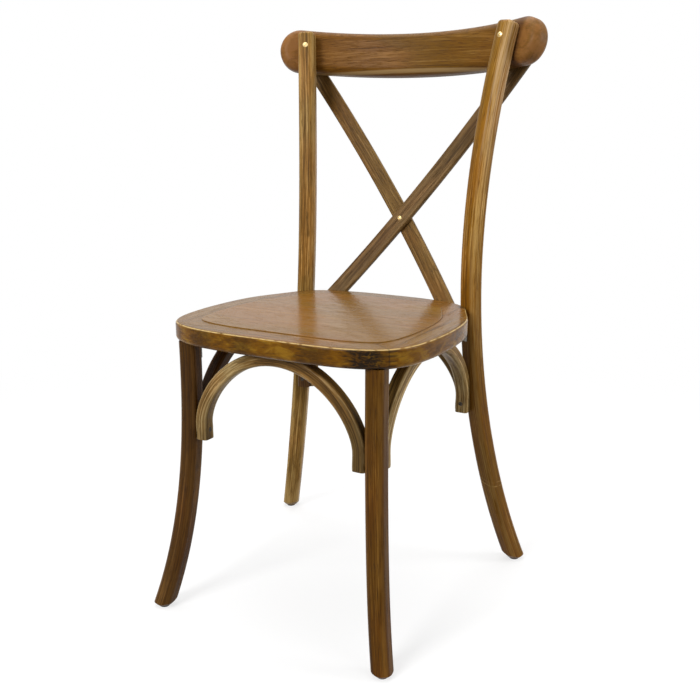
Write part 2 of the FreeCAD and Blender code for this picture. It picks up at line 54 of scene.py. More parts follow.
# Centrelines, as height, distance from the middle, and depth from the middle of the seat; the
# last two are picked by their column
SIDE_COLUMN = 1
DEPTH_COLUMN = 2
POST_LINE = [
    (0.0, 0.2312, 0.2222), (0.16, 0.1911, 0.1876), (0.33, 0.1651, 0.1706),
    (0.50, 0.1544, 0.1700), (0.70, 0.1612, 0.1884), (0.884, 0.1826, 0.2225),
]
LEG_LINE = [
    (0.0, 0.1924, -0.2003), (0.075, 0.1765, -0.1815), (0.19, 0.1625, -0.1630),
    (0.31, 0.1565, -0.1548), (0.425, 0.1560, -0.1540),
]
SLAT_LINE = [
    (0.421, -0.121, 0.175), (0.572, 0.0, 0.231), (0.70, 0.1025, 0.253), (0.8455, 0.2075, 0.2618),
]

# Half sizes of the legs' and posts' and of the slats' sections, and two angles in degrees
BAR_HALF = 0.014
SLAT_HALF_WIDTH = 0.01425
SLAT_HALF_THICKNESS = 0.005
POST_TURN = 20.0
SLAT_SLOPE = 52.0

# Crest rail: bend radius, lean, and the depth and height of its middle, its rearmost place
RAIL_RADIUS = 0.445
RAIL_LEAN = 12.0
RAIL_APEX = (0.287, 0.8422)
RAIL_HALF_LENGTH = 0.2485
RAIL_HALF_HEIGHT = 0.03575
RAIL_HALF_THICKNESS = 0.018

# The rail's painted highlight line where its front face curves under: height, half width,
# and distances from the ends where it fades in
RAIL_HIGHLIGHT_HEIGHT = -0.0205
RAIL_HIGHLIGHT_HALF_WIDTH = 0.0050
RAIL_HIGHLIGHT_FADE = (0.050, 0.080)

# The rail's painted shadow beside the right post, and distances from the ends where they turn
# redder
RAIL_SHADOW_PLACE = 0.204
RAIL_SHADOW_HALF_WIDTH = 0.016
RAIL_END_FADE = (0.060, 0.030)

# The right rear post's scratches: height and strength of each, their slope and half width
POST_SCRATCHES = [(0.145, 1.0), (0.152, 0.5)]
SCRATCH_SLOPE = 0.25
SCRATCH_HALF_WIDTH = 0.0014

# Heights on the right rear post at which each painted shade, and the painted highlight on its
# top, begins and is full
POST_FOOT_SHADE = (0.58, 0.36)
POST_TOP_HIGHLIGHT_FADE = (0.58, 0.88)
POST_INNER_SHADE = (0.45, 0.70)

# Arches: where their bend starts, how high it rises, how full its shoulders are, and its radius
ARCH_BEND_HEIGHT = 0.300
ARCH_RISE = 0.111
ARCH_SHOULDER = 1.6
ARCH_SCALE = 0.139

# Arches: half sizes of their section, their places, and how far each reaches to a side
ARCH_HALF_WIDTH = 0.0105
ARCH_HALF_THICKNESS = 0.010
FRONT_ARCH_Y = -0.1563
FRONT_ARCH_REACH = 0.1333
REAR_ARCH_Y = 0.168
REAR_ARCH_REACH = 0.147
SIDE_ARCH_X = 0.1525
SIDE_ARCH_MIDDLE_Y = 0.0118
SIDE_ARCH_REACH = 0.1442

# The front arch's painted shade towards its feet: heights at which it begins and is full, and
# sides between which it grows
ARCH_FOOT_SHADE_FADE = (0.395, 0.320)
ARCH_FOOT_SHADE_SIDES = (-0.05, 0.10)

# Seat: the height of the middle of its frame
SEAT_MIDDLE_HEIGHT = 0.433

# Front corner joints: a point on the line, the direction across it, the pitch of the fingers,
# the middle and half width of the band that they fill, and half the width of the seam
JOINT_POINT = (0.118, -0.124)
JOINT_ACROSS = (0.518, 0.855)
JOINT_FINGER = 0.0066
JOINT_FINGER_BAND = (0.004, 0.011)
JOINT_SEAM_HALF_WIDTH = 0.0012

# How far up a seat face points where its top turns into its edge, where the painted highlight
# along the arris fades in and out again, and where the panel's rounded border begins and is full
EDGE_FADE = (0.75, 0.45)
ARRIS_FADE_IN = (0.56, 0.72)
ARRIS_FADE_OUT = (0.94, 0.86)
PANEL_BORDER_FADE = (0.99, 0.90)

# Painted shade on the seat where it meets the right post: its place, and where it fades
SEAT_POST_SHADE_PLACE = (0.152, 0.148, 0.447)
SEAT_POST_SHADE_FADE = (0.016, 0.004)

# Darker patches of end grain and stain on the seat's front edge: middle, half length, strength
EDGE_PATCHES = [
    (-0.108, 0.0260, 0.60), (-0.035, 0.0221, 0.55), (0.075, 0.0286, 0.55), (0.150, 0.0338, 1.0),
]

# Depth at which those patches begin and are full, and how ragged their ends are
EDGE_FRONT_FADE = (-0.12, -0.15)
EDGE_RAGGED = 0.05

# Shifts of the grain along its axis, so that no two pieces of a kind look alike
SIDE_SHIFT = 2.0
SLAT_SHIFT = 3.0
BOARD_SHIFT = 5.0
ARCH_SHIFT = 10.0

# Grain: noise steps per metre, across the piece twice and along it once
BAND_SCALE = (95.0, 95.0, 2.2)
STREAK_SCALE = (430.0, 430.0, 7.0)
CLOUD_SCALE = (22.0, 22.0, 7.0)
WARMTH_SCALE = (12.0, 12.0, 6.0)
PORE_SCALE = (1100.0, 1100.0, 38.0)
# The next scale gives the patches of the bars' corner wear and painted corner highlight
CORNER_WEAR_AND_HIGHLIGHT_SCALE = (60.0, 60.0, 16.0)
FIBRE_SCALE = (520.0, 520.0, 14.0)

# Mottling: noise steps per metre along X, Y and Z, or around and along a piece
EDGE_BLOTCH_SCALE = (34.0, 34.0, 70.0)
EDGE_LINE_SCALE = (60.0, 60.0, 520.0)
EDGE_STAIN_SCALE = (120.0, 120.0, 300.0)
# The next scale breaks the painted highlight along the seat's arris into patches
ARRIS_HIGHLIGHT_PATCH_SCALE = (90.0, 90.0, 90.0)
SCRATCH_SCALE = (160.0, 160.0, 160.0)
RAIL_CLOUD_SCALE = (45.0, 45.0, 45.0)
METAL_PATCH_SCALE = (260.0, 260.0, 260.0)
METAL_LINE_SCALE = (400.0, 3200.0, 3200.0)
SCUFF_SCALE = (500.0, 500.0, 900.0)

# Grain: how much bands, streaks and cloud count in its tone, and how far the tone spreads
BAND_SHARE = 0.34
STREAK_SHARE = 0.48
CLOUD_SHARE = 0.18
TONE_SPREAD = 0.13

# Lacquer: mirrored light, and roughness on bars and on the seat
WOOD_SHINE = 0.095
BAR_ROUGHNESS = 0.30
SEAT_ROUGHNESS = 0.13

# Surface relief: its strength, and its depth on wood, metal and plastic
RELIEF_STRENGTH = 0.25
GRAIN_RELIEF = 0.0004
METAL_RELIEF = 0.0001
SCUFF_RELIEF = 0.0002

# Lamps: name, place, aim, size, power in watts
LAMPS = [
    ("top light", (-0.3, 0.3, 2.6), (0, 0, 0.45), (2.0, 2.0), 36.0),
    ("key light", (-0.5, -2.5, 1.9), (0, 0, 0.50), (1.0, 1.4), 54.0),
    ("fill light", (2.4, -0.8, 1.3), (0, 0, 0.45), (1.2, 1.6), 9.0),
    ("back light", (2.6, 1.1, 1.3), (0, 0, 0.50), (1.0, 1.4), 30.0),
]

# The world's light on the object; to the camera the world is plain white
WORLD_LIGHT = 0.26

# Floor: radius, sides, the distances between which it fades into plain white, and its paint,
# its glow as seen by the camera, and its paint as seen by the object
FLOOR_RADIUS = 6.0
FLOOR_SIDES = 96
FLOOR_FADE = (0.6, 1.6)
FLOOR_PAINT = (0.38, 0.38, 0.38)
FLOOR_GLOW = 0.68
FLOOR_BOUNCE = (0.30, 0.30, 0.30)

# Metals, as bright and dulled colour and roughness, and the glides' plastic; colours are linear
BRASS = ((0.80, 0.62, 0.30), (0.45, 0.32, 0.14), 0.22)
ZINC_PLATED_STEEL = ((0.60, 0.60, 0.58), (0.38, 0.37, 0.35), 0.30)
BROWNED_STEEL = ((0.075, 0.060, 0.045), (0.035, 0.028, 0.022), 0.42)
BRACKET_STEEL = ((0.30, 0.29, 0.27), (0.16, 0.15, 0.13), 0.42)
GLIDE_PLASTIC = (0.03, 0.026, 0.022)

# Wood colours, linear, as dark, middle and light, and single colours of marks
LEFT_POST_TONES = ((0.075, 0.038, 0.007), (0.265, 0.142, 0.030), (0.50, 0.315, 0.105))
RIGHT_POST_TONES = ((0.095, 0.036, 0.004), (0.290, 0.132, 0.008), (0.58, 0.350, 0.110))
# Painted highlight tone on the right rear post's outer side near the top; the next is its painted
# shade tone
POST_TOP_HIGHLIGHT_TONE = (0.62, 0.40, 0.19)
POST_SHADE_TONE = (0.110, 0.062, 0.020)
WARM_CAST = (1.08, 0.95, 0.85)
# The front legs' wood, darker than the posts' as painted shade under the seat; the left leg's copy
# is darker still, as more painted shade
LEG_TONES = ((0.034, 0.013, 0.002), (0.106, 0.042, 0.002), (0.23, 0.110, 0.020))
SHADED_LEG_TONES = ((0.025, 0.010, 0.002), (0.076, 0.031, 0.003), (0.17, 0.080, 0.018))
RAIL_TONES = ((0.055, 0.023, 0.004), (0.158, 0.071, 0.007), (0.29, 0.155, 0.036))
RAIL_END_TONE = (0.310, 0.138, 0.042)
# Painted highlight line on the rail, then painted shadow beside the right post
RAIL_HIGHLIGHT_TONE = (0.40, 0.26, 0.110)
RAIL_SHADOW_TONE = (0.050, 0.018, 0.010)
# The two slats are one wood: the front slat's copy is darker as painted shade, the rear slat's
# lighter as painted light
FRONT_SLAT_SHADED_TONES = ((0.038, 0.019, 0.005), (0.132, 0.074, 0.022), (0.27, 0.165, 0.065))
REAR_SLAT_LIT_TONES = ((0.052, 0.026, 0.006), (0.174, 0.094, 0.023), (0.32, 0.195, 0.065))
RIM_TONES = ((0.050, 0.022, 0.004), (0.205, 0.102, 0.020), (0.31, 0.180, 0.055))
PANEL_TONES = ((0.110, 0.047, 0.006), (0.222, 0.108, 0.017), (0.30, 0.162, 0.034))
EDGE_TONES = ((0.018, 0.009, 0.003), (0.180, 0.070, 0.001), (0.36, 0.185, 0.012))
# Painted highlight along the seat's top arris
ARRIS_HIGHLIGHT_TONE = (0.60, 0.42, 0.17)
ARCH_TONES = ((0.042, 0.023, 0.007), (0.238, 0.136, 0.036), (0.56, 0.40, 0.18))
# A darker copy of the arch tones for the left side arch, as painted shade
SHADED_ARCH_TONES = ((0.030, 0.012, 0.003), (0.085, 0.036, 0.009), (0.16, 0.075, 0.020))


def put(tree, kind, inputs=None, **settings):
    """A shader node with its settings, and its inputs given as values or as other outputs."""
    made = tree.nodes.new(kind)
    for name, value in settings.items():
        setattr(made, name, value)
    for name, value in (inputs or {}).items():
        if isinstance(value, bpy.types.NodeSocket):
            tree.links.new(value, made.inputs[name])
        else:
            made.inputs[name].default_value = value
    return made


def calc(tree, operation, first, second=0.0, third=0.0, clamp=False):
    """One step of arithmetic on up to three values."""
    made = put(tree, "ShaderNodeMath", {0: first, 1: second, 2: third}, operation=operation)
    made.use_clamp = clamp
    return made.outputs[0]


def between(tree, value, low, high):
    """0 on low's side, 1 on high's side, and smooth in between; low may be the larger."""
    made = put(tree, "ShaderNodeMapRange", {"Value": value, "From Min": low, "From Max": high},
               interpolation_type="SMOOTHSTEP")
    return made.outputs["Result"]


def blend_colours(tree, factor, first, second, mode="MIX"):
    """The first colour, turned into the second by a factor from 0 to 1."""
    made = put(tree, "ShaderNodeMix", data_type="RGBA", blend_type=mode)
    for socket, value in ((made.inputs[0], factor), (made.inputs[6], first),
                          (made.inputs[7], second)):
        if isinstance(value, bpy.types.NodeSocket):
            tree.links.new(value, socket)
        else:
            socket.default_value = value if socket is made.inputs[0] else (*value, 1.0)
    return made.outputs[2]


def position(tree):
    """The three coordinates of a surface point, with depth measured from the seat's middle."""
    place = put(tree, "ShaderNodeTexCoord").outputs["Object"]
    split = put(tree, "ShaderNodeSeparateXYZ", {0: place})
    depth = calc(tree, "SUBTRACT", split.outputs["Y"], SEAT_MIDDLE_Y)
    return split.outputs["X"], depth, split.outputs["Z"]


def joined(tree, first, second, third):
    """Three coordinates as one vector."""
    return put(tree, "ShaderNodeCombineXYZ", {0: first, 1: second, 2: third}).outputs[0]


def product(tree, first, *others):
    """Several values multiplied together."""
    for other in others:
        first = calc(tree, "MULTIPLY", first, other)
    return first


def line_value(tree, height, line, column):
    """One column of a centreline at any height, as a smooth curve; it may be from -0.5 to 0.5."""
    made = put(tree, "ShaderNodeFloatCurve", {"Value": height})
    curve = made.mapping.curves[0]
    pairs = [(point[0], point[column] + 0.5) for point in line]
    curve.points[0].location = pairs[0]
    curve.points[1].location = pairs[-1]
    for pair in pairs[1:-1]:
        curve.points.new(*pair)
    made.mapping.update()
    return calc(tree, "SUBTRACT", made.outputs[0], 0.5)


def rotated(tree, first, second, degrees):
    """Two coordinates turned clockwise by an angle."""
    cosine, sine = math.cos(math.radians(degrees)), math.sin(math.radians(degrees))
    turned_first = calc(tree, "MULTIPLY_ADD", second, sine, calc(tree, "MULTIPLY", first, cosine))
    turned_second = calc(tree, "MULTIPLY_ADD", first, -sine,
                         calc(tree, "MULTIPLY", second, cosine))
    return turned_first, turned_second


def upright_bar(line, turn):
    """Grain of a leg or post: along its bent centreline, the same on the left and right."""
    def grain(tree):
        x, y, z = position(tree)
        side = calc(tree, "SIGN", x)
        across = calc(tree, "SUBTRACT", calc(tree, "ABSOLUTE", x),
                      line_value(tree, z, line, SIDE_COLUMN))
        depth = calc(tree, "SUBTRACT", y, line_value(tree, z, line, DEPTH_COLUMN))
        across, depth = rotated(tree, across, depth, -turn)
        return across, depth, calc(tree, "MULTIPLY_ADD", side, SIDE_SHIFT, z)
    return grain


def slat_bar(side):
    """Grain of a crossed slat, which leans to the right if side is 1 and to the left if -1."""
    def grain(tree):
        x, y, z = position(tree)
        across = calc(tree, "SUBTRACT", calc(tree, "MULTIPLY", x, side),
                      line_value(tree, z, SLAT_LINE, SIDE_COLUMN))
        depth = calc(tree, "SUBTRACT", y, line_value(tree, z, SLAT_LINE, DEPTH_COLUMN))
        squeeze = math.sin(math.radians(SLAT_SLOPE))
        along = calc(tree, "MULTIPLY_ADD", z, 1 / squeeze, SLAT_SHIFT * side)
        return calc(tree, "MULTIPLY", across, squeeze), depth, along
    return grain


def arch_bar(axis, plane, reach):
    """Grain of an arch, around its bend; axis is the one that the arch's plane is square to."""
    def grain(tree):
        x, y, z = position(tree)
        if axis == "x":
            run = calc(tree, "SUBTRACT", y, SIDE_ARCH_MIDDLE_Y)
            off = calc(tree, "SUBTRACT", x, plane)
        else:
            run = x
            off = calc(tree, "SUBTRACT", y, plane)
        over = calc(tree, "SUBTRACT", z, ARCH_BEND_HEIGHT)
        rise = calc(tree, "MAXIMUM", over, 0.0)
        wide = calc(tree, "POWER", calc(tree, "ABSOLUTE", calc(tree, "DIVIDE", run, reach)), 2.0)
        high = calc(tree, "POWER", calc(tree, "DIVIDE", rise, ARCH_RISE), ARCH_SHOULDER)
        radius = calc(tree, "SQRT", calc(tree, "ADD", wide, high))
        across = calc(tree, "MULTIPLY", calc(tree, "SUBTRACT", radius, 1.0), ARCH_SCALE)
        angle = calc(tree, "ARCTAN2", rise, run)
        below = calc(tree, "SUBTRACT", rise, over)
        along = calc(tree, "MULTIPLY_ADD", angle, ARCH_SCALE, below)
        return across, off, calc(tree, "ADD", along, ARCH_SHIFT * plane)
    return grain


def rail_bar(tree):
    """Grain of the crest rail, around its bend."""
    x, y, z = position(tree)
    depth = calc(tree, "SUBTRACT", y, RAIL_APEX[0])
    height = calc(tree, "SUBTRACT", z, RAIL_APEX[1])
    depth, height = rotated(tree, depth, height, RAIL_LEAN)
    depth = calc(tree, "ADD", depth, RAIL_RADIUS)
    squares = calc(tree, "MULTIPLY_ADD", x, x, calc(tree, "MULTIPLY", depth, depth))
    radius = calc(tree, "SUBTRACT", calc(tree, "SQRT", squares), RAIL_RADIUS)
    angle = calc(tree, "ARCTAN2", x, depth)
    return radius, height, calc(tree, "MULTIPLY", angle, RAIL_RADIUS)


def level_board(axis):
    """Grain of a flat piece of the seat, along x or along y."""
    def grain(tree):
        x, y, z = position(tree)
        height = calc(tree, "SUBTRACT", z, SEAT_MIDDLE_HEIGHT)
        if axis == "x":
            return y, height, x
        return x, height, calc(tree, "ADD", y, BOARD_SHIFT)
    return grain


def noise(tree, vector, scale, detail=3.0, roughness=0.55, distortion=0.0):
    """Random mottling from 0 to 1, with its own number of steps per metre on each axis."""
    stretched = put(tree, "ShaderNodeVectorMath", {0: vector, 1: scale}, operation="MULTIPLY")
    made = put(tree, "ShaderNodeTexNoise",
               {"Vector": stretched.outputs[0], "Scale": 1.0, "Detail": detail,
                "Roughness": roughness, "Distortion": distortion})
    return made.outputs["Fac"]


def corner_wear_and_highlight(tree, first, second, half_first, half_second):
    """1 along the rounded corners of a bar, 0 on its flats."""
    corner = half_first * half_second
    nearness = calc(tree, "ABSOLUTE", calc(tree, "MULTIPLY", first, second))
    return between(tree, nearness, 0.5 * corner, 0.85 * corner)


def upward(tree):
    """How far a surface faces up: 1 on the level, 0 on the upright."""
    normal = put(tree, "ShaderNodeNewGeometry").outputs["Normal"]
    return put(tree, "ShaderNodeSeparateXYZ", {0: normal}).outputs["Z"]


def bump_at(tree, value, middle, half_width):
    """1 at a middle value, falling smoothly to 0 at a half width away."""
    away = calc(tree, "ABSOLUTE", calc(tree, "SUBTRACT", value, middle))
    return between(tree, away, half_width, 0.35 * half_width)


def new_material(name):
    """An empty material and its node tree."""
    material = bpy.data.materials.new(name)
    material.use_nodes = True
    material.node_tree.nodes.clear()
    return material, material.node_tree


def grained(tree, vector, tones, contrast, pores):
    """Open grain: broad bands, long streaks, clouds and short pores along the third axis."""
    dark, middle, light = tones
    bands = noise(tree, vector, BAND_SCALE, 4.0, 0.6, 0.5)
    streaks = noise(tree, vector, STREAK_SCALE, 4.0, 0.62, 0.3)
    cloud = noise(tree, vector, CLOUD_SCALE, 2.0)
    dashes = noise(tree, vector, PORE_SCALE, 2.0, 0.6)
    tone = calc(tree, "MULTIPLY", cloud, CLOUD_SHARE)
    tone = calc(tree, "MULTIPLY_ADD", streaks, STREAK_SHARE, tone)
    tone = calc(tree, "MULTIPLY_ADD", bands, BAND_SHARE, tone)
    reach = TONE_SPREAD / contrast
    base = blend_colours(tree, between(tree, tone, 0.5, 0.5 + reach), middle, light)
    darker = calc(tree, "MULTIPLY", between(tree, tone, 0.5, 0.5 - reach), 0.8)
    base = blend_colours(tree, darker, base, dark)
    warmth = between(tree, noise(tree, vector, WARMTH_SCALE, 2.0), 0.42, 0.64)
    base = blend_colours(tree, warmth, base, WARM_CAST, "MULTIPLY")
    pore = between(tree, dashes, 0.53, 0.64)
    base = blend_colours(tree, calc(tree, "MULTIPLY", pore, pores), base, dark)
    return base, pore, cloud, streaks


def lacquered(tree, base, pore, cloud, streaks, roughness):
    """The shader of stained wood under lacquer, from its colour and its grain."""
    rough = calc(tree, "MULTIPLY_ADD", pore, 0.15, roughness)
    rough = calc(tree, "MULTIPLY_ADD", cloud, 0.10, rough)
    height = calc(tree, "MULTIPLY_ADD", streaks, 0.5, calc(tree, "MULTIPLY", pore, -1.0))
    bump = put(tree, "ShaderNodeBump", {"Height": height, "Strength": RELIEF_STRENGTH,
                                        "Distance": GRAIN_RELIEF})
    shader = put(tree, "ShaderNodeBsdfPrincipled",
                 {"Base Color": base, "Roughness": rough, "Normal": bump.outputs[0],
                  "Specular IOR Level": WOOD_SHINE})
    put(tree, "ShaderNodeOutputMaterial", {0: shader.outputs[0]})


def bar_wood(name, grain, tones, halves, contrast=1.0, wear_and_highlight=0.75, marks=None):
    """The wood of a leg, post, slat or arch, with lighter rounded corners: wear and painted
    highlight.
    """
    material, tree = new_material(name)
    first, second, along = grain(tree)
    vector = joined(tree, first, second, along)
    base, pore, cloud, streaks = grained(tree, vector, tones, contrast, 0.7)
    # Lighter rounded corners in patches: wear, and a painted highlight along them
    worn_and_lit = corner_wear_and_highlight(tree, first, second, *halves)
    patchy = between(tree, noise(tree, vector, CORNER_WEAR_AND_HIGHLIGHT_SCALE, 3.0), 0.34, 0.56)
    worn_and_lit = product(tree, worn_and_lit, patchy, wear_and_highlight)
    base = blend_colours(tree, worn_and_lit, base, tones[2])
    if marks:
        base = marks(tree, base, first, second, along)
    lacquered(tree, base, pore, cloud, streaks, BAR_ROUGHNESS)
    return material


def post_marks(tree, base, across, depth, along):
    """Right rear post: scratches low down; painted shade at its foot and high inside, painted
    highlight high outside.
    """
    place = joined(tree, across, depth, along)
    height = calc(tree, "SUBTRACT", along, SIDE_SHIFT)
    broken = between(tree, noise(tree, place, SCRATCH_SCALE), 0.38, 0.55)
    tilted = calc(tree, "MULTIPLY_ADD", across, SCRATCH_SLOPE, height)
    for scratch_height, strength in POST_SCRATCHES:
        scratch = bump_at(tree, tilted, scratch_height, SCRATCH_HALF_WIDTH)
        amount = product(tree, scratch, broken, strength)
        base = blend_colours(tree, amount, base, RIGHT_POST_TONES[2])
    # Painted shade: darker towards the foot
    shaded = calc(tree, "MULTIPLY", between(tree, height, *POST_FOOT_SHADE), 0.48)
    base = blend_colours(tree, shaded, base, RIGHT_POST_TONES[0])
    # Painted highlight on the outer side near the top, broken up by fibres
    fibres = between(tree, noise(tree, place, FIBRE_SCALE, 3.0), 0.38, 0.58)
    outside = between(tree, across, 0.2 * BAR_HALF, 0.8 * BAR_HALF)
    painted_top_highlight = product(tree, between(tree, height, *POST_TOP_HIGHLIGHT_FADE), outside, fibres, 0.9)
    base = blend_colours(tree, painted_top_highlight, base, POST_TOP_HIGHLIGHT_TONE)
    # Painted shade on the inner side near the top
    inside = between(tree, across, 0.3 * BAR_HALF, -0.6 * BAR_HALF)
    inside = product(tree, inside, between(tree, height, *POST_INNER_SHADE), 0.45)
    return blend_colours(tree, inside, base, POST_SHADE_TONE)


def arch_foot_shade(tree, base, across, depth, along):
    """Painted shade towards the feet of the front arch, most of all on the right."""
    x, _, z = position(tree)
    low = between(tree, z, *ARCH_FOOT_SHADE_FADE)
    right = calc(tree, "MULTIPLY_ADD", between(tree, x, *ARCH_FOOT_SHADE_SIDES), 0.30, 0.25)
    return blend_colours(tree, calc(tree, "MULTIPLY", low, right), base, ARCH_TONES[0])


def rail_marks(tree, base, depth, height, along):
    """Painted highlight line low on the rail, painted shade under it, cloudy redder ends, painted
    shadow by the right post.
    """
    from_end = calc(tree, "SUBTRACT", RAIL_HALF_LENGTH, calc(tree, "ABSOLUTE", along))
    place = joined(tree, depth, height, along)
    cloudy = between(tree, noise(tree, place, RAIL_CLOUD_SCALE, 3.0, 0.6, 1.0), 0.36, 0.62)
    cloudy = calc(tree, "MULTIPLY_ADD", cloudy, 0.5, 0.25)
    end = calc(tree, "MULTIPLY", between(tree, from_end, *RAIL_END_FADE), cloudy)
    base = blend_colours(tree, end, base, RAIL_END_TONE)
    # Painted shadow on the rail beside the right post
    stain_and_shadow = bump_at(tree, along, RAIL_SHADOW_PLACE, RAIL_SHADOW_HALF_WIDTH)
    base = blend_colours(tree, calc(tree, "MULTIPLY", stain_and_shadow, 0.6), base, RAIL_SHADOW_TONE)
    # Painted highlight line where the rail's front face curves under
    front = between(tree, depth, 0.0, -0.4 * RAIL_HALF_THICKNESS)
    line = bump_at(tree, height, RAIL_HIGHLIGHT_HEIGHT, RAIL_HIGHLIGHT_HALF_WIDTH)
    line = product(tree, line, front, between(tree, from_end, *RAIL_HIGHLIGHT_FADE), 0.85)
    base = blend_colours(tree, line, base, RAIL_HIGHLIGHT_TONE)
    # Painted shade on the rounded underside below that line
    low = between(tree, height, RAIL_HIGHLIGHT_HEIGHT - 0.6 * RAIL_HIGHLIGHT_HALF_WIDTH, -RAIL_HALF_HEIGHT)
    return blend_colours(tree, calc(tree, "MULTIPLY", low, 0.5), base, RAIL_TONES[0])


def across_joint(tree, x, y):
    """The distance of a point of the seat from the line of the nearer front corner joint."""
    side = calc(tree, "SUBTRACT", calc(tree, "ABSOLUTE", x), JOINT_POINT[0])
    back = calc(tree, "SUBTRACT", y, JOINT_POINT[1])
    return calc(tree, "MULTIPLY_ADD", side, JOINT_ACROSS[0],
                calc(tree, "MULTIPLY", back, JOINT_ACROSS[1]))


def edge_stain(tree, place, x, y, lines, blotch):
    """How dark the seat's edge is stained: blotches all around, and patches on its front."""
    stain_and_shadow = calc(tree, "MULTIPLY", between(tree, blotch, 0.50, 0.36), 0.45)
    ragged = calc(tree, "MULTIPLY_ADD", calc(tree, "SUBTRACT", lines, 0.5), EDGE_RAGGED, x)
    front = between(tree, y, *EDGE_FRONT_FADE)
    mottled = between(tree, noise(tree, place, EDGE_STAIN_SCALE, 3.0, 0.6, 1.0), 0.35, 0.55)
    mottled = calc(tree, "MULTIPLY_ADD", mottled, 0.45, 0.55)
    for middle_x, half_length, strength in EDGE_PATCHES:
        patch = bump_at(tree, ragged, middle_x, half_length)
        stain_and_shadow = calc(tree, "MAXIMUM", stain_and_shadow, product(tree, patch, strength, front, mottled))
    return stain_and_shadow


def seat_edge(tree, place, lines, across):
    """The colour of the seat's edge: golden, mottled and stained, with its finger joints."""
    x, y, z = position(tree)
    dark, middle, light = EDGE_TONES
    blotch = noise(tree, place, EDGE_BLOTCH_SCALE, 4.0, 0.6, 0.6)
    paler = calc(tree, "MULTIPLY", between(tree, blotch, 0.48, 0.68), 0.6)
    lined = calc(tree, "MULTIPLY", between(tree, lines, 0.50, 0.66), 0.35)
    edge = blend_colours(tree, paler, middle, light)
    edge = blend_colours(tree, lined, edge, dark)
    edge = blend_colours(tree, edge_stain(tree, place, x, y, lines, blotch), edge, dark)
    fingers = calc(tree, "SINE", calc(tree, "MULTIPLY", z, 2 * math.pi / JOINT_FINGER))
    fingers = product(tree, between(tree, fingers, 0.2, 0.7),
                      bump_at(tree, across, *JOINT_FINGER_BAND), 0.6)
    return blend_colours(tree, fingers, edge, dark)


def seat_wood(name, axis):
    """The seat frame's wood: brown on top, golden and stained on its edge, a painted highlight on
    its arris.
    """
    material, tree = new_material(name)
    vector = joined(tree, *level_board(axis)(tree))
    top, pore, cloud, streaks = grained(tree, vector, RIM_TONES, 0.9, 0.5)
    x, y, z = position(tree)
    place = joined(tree, x, y, z)
    lines = noise(tree, place, EDGE_LINE_SCALE, 3.0, 0.6, 0.4)
    across = across_joint(tree, x, y)
    edge = seat_edge(tree, place, lines, across)
    dark = EDGE_TONES[0]
    up = upward(tree)
    base = blend_colours(tree, between(tree, up, *EDGE_FADE), top, edge)
    # Painted highlight along the seat's arris, in patches
    worn_and_lit = between(tree, noise(tree, place, ARRIS_HIGHLIGHT_PATCH_SCALE, 3.0), 0.30, 0.55)
    arris = product(tree, between(tree, up, *ARRIS_FADE_IN), between(tree, up, *ARRIS_FADE_OUT),
                    worn_and_lit)
    base = blend_colours(tree, arris, base, ARRIS_HIGHLIGHT_TONE)
    seam = calc(tree, "MULTIPLY", bump_at(tree, across, 0.0, JOINT_SEAM_HALF_WIDTH), 0.5)
    base = blend_colours(tree, seam, base, dark)
    # Painted shade on the seat where it meets the right post
    away = put(tree, "ShaderNodeVectorMath", {0: place, 1: SEAT_POST_SHADE_PLACE}, operation="DISTANCE")
    seat_post_shade = product(tree, between(tree, away.outputs["Value"], *SEAT_POST_SHADE_FADE),
                     between(tree, lines, 0.40, 0.55), 0.8)
    base = blend_colours(tree, seat_post_shade, base, dark)
    lacquered(tree, base, pore, cloud, streaks, SEAT_ROUGHNESS)
    return material


def panel_wood(name):
    """The seat panel: a finely figured veneer with a darker rounded border."""
    material, tree = new_material(name)
    vector = joined(tree, *level_board("x")(tree))
    base, pore, cloud, streaks = grained(tree, vector, PANEL_TONES, 0.7, 0.45)
    border = between(tree, upward(tree), *PANEL_BORDER_FADE)
    base = blend_colours(tree, calc(tree, "MULTIPLY", border, 0.35), base, PANEL_TONES[0])
    lacquered(tree, base, pore, cloud, streaks, SEAT_ROUGHNESS)
    return material


def metal(name, colour, dull, roughness):
    """Worn metal: brushed lines and dulled patches."""
    material, tree = new_material(name)
    place = put(tree, "ShaderNodeTexCoord").outputs["Object"]
    patches = between(tree, noise(tree, place, METAL_PATCH_SCALE, 4.0), 0.40, 0.66)
    lines = noise(tree, place, METAL_LINE_SCALE, 2.0)
    base = blend_colours(tree, calc(tree, "MULTIPLY", patches, 0.6), colour, dull)
    rough = calc(tree, "MULTIPLY_ADD", lines, 0.2, roughness)
    rough = calc(tree, "MULTIPLY_ADD", patches, 0.15, rough)
    bump = put(tree, "ShaderNodeBump", {"Height": lines, "Strength": RELIEF_STRENGTH,
                                        "Distance": METAL_RELIEF})
    shader = put(tree, "ShaderNodeBsdfPrincipled",
                 {"Base Color": base, "Metallic": 1.0, "Roughness": rough,
                  "Normal": bump.outputs[0]})
    put(tree, "ShaderNodeOutputMaterial", {0: shader.outputs[0]})
    return material


def plastic(name, colour):
    """Dark scuffed plastic of the glides."""
    material, tree = new_material(name)
    place = put(tree, "ShaderNodeTexCoord").outputs["Object"]
    scuffs = between(tree, noise(tree, place, SCUFF_SCALE, 4.0), 0.45, 0.7)
    paler = tuple(channel * 2.2 for channel in colour)
    base = blend_colours(tree, calc(tree, "MULTIPLY", scuffs, 0.5), colour, paler)
    rough = calc(tree, "MULTIPLY_ADD", scuffs, 0.2, 0.5)
    bump = put(tree, "ShaderNodeBump", {"Height": scuffs, "Strength": 0.2,
                                        "Distance": SCUFF_RELIEF})
    shader = put(tree, "ShaderNodeBsdfPrincipled",
                 {"Base Color": base, "Roughness": rough, "Normal": bump.outputs[0]})
    put(tree, "ShaderNodeOutputMaterial", {0: shader.outputs[0]})
    return material


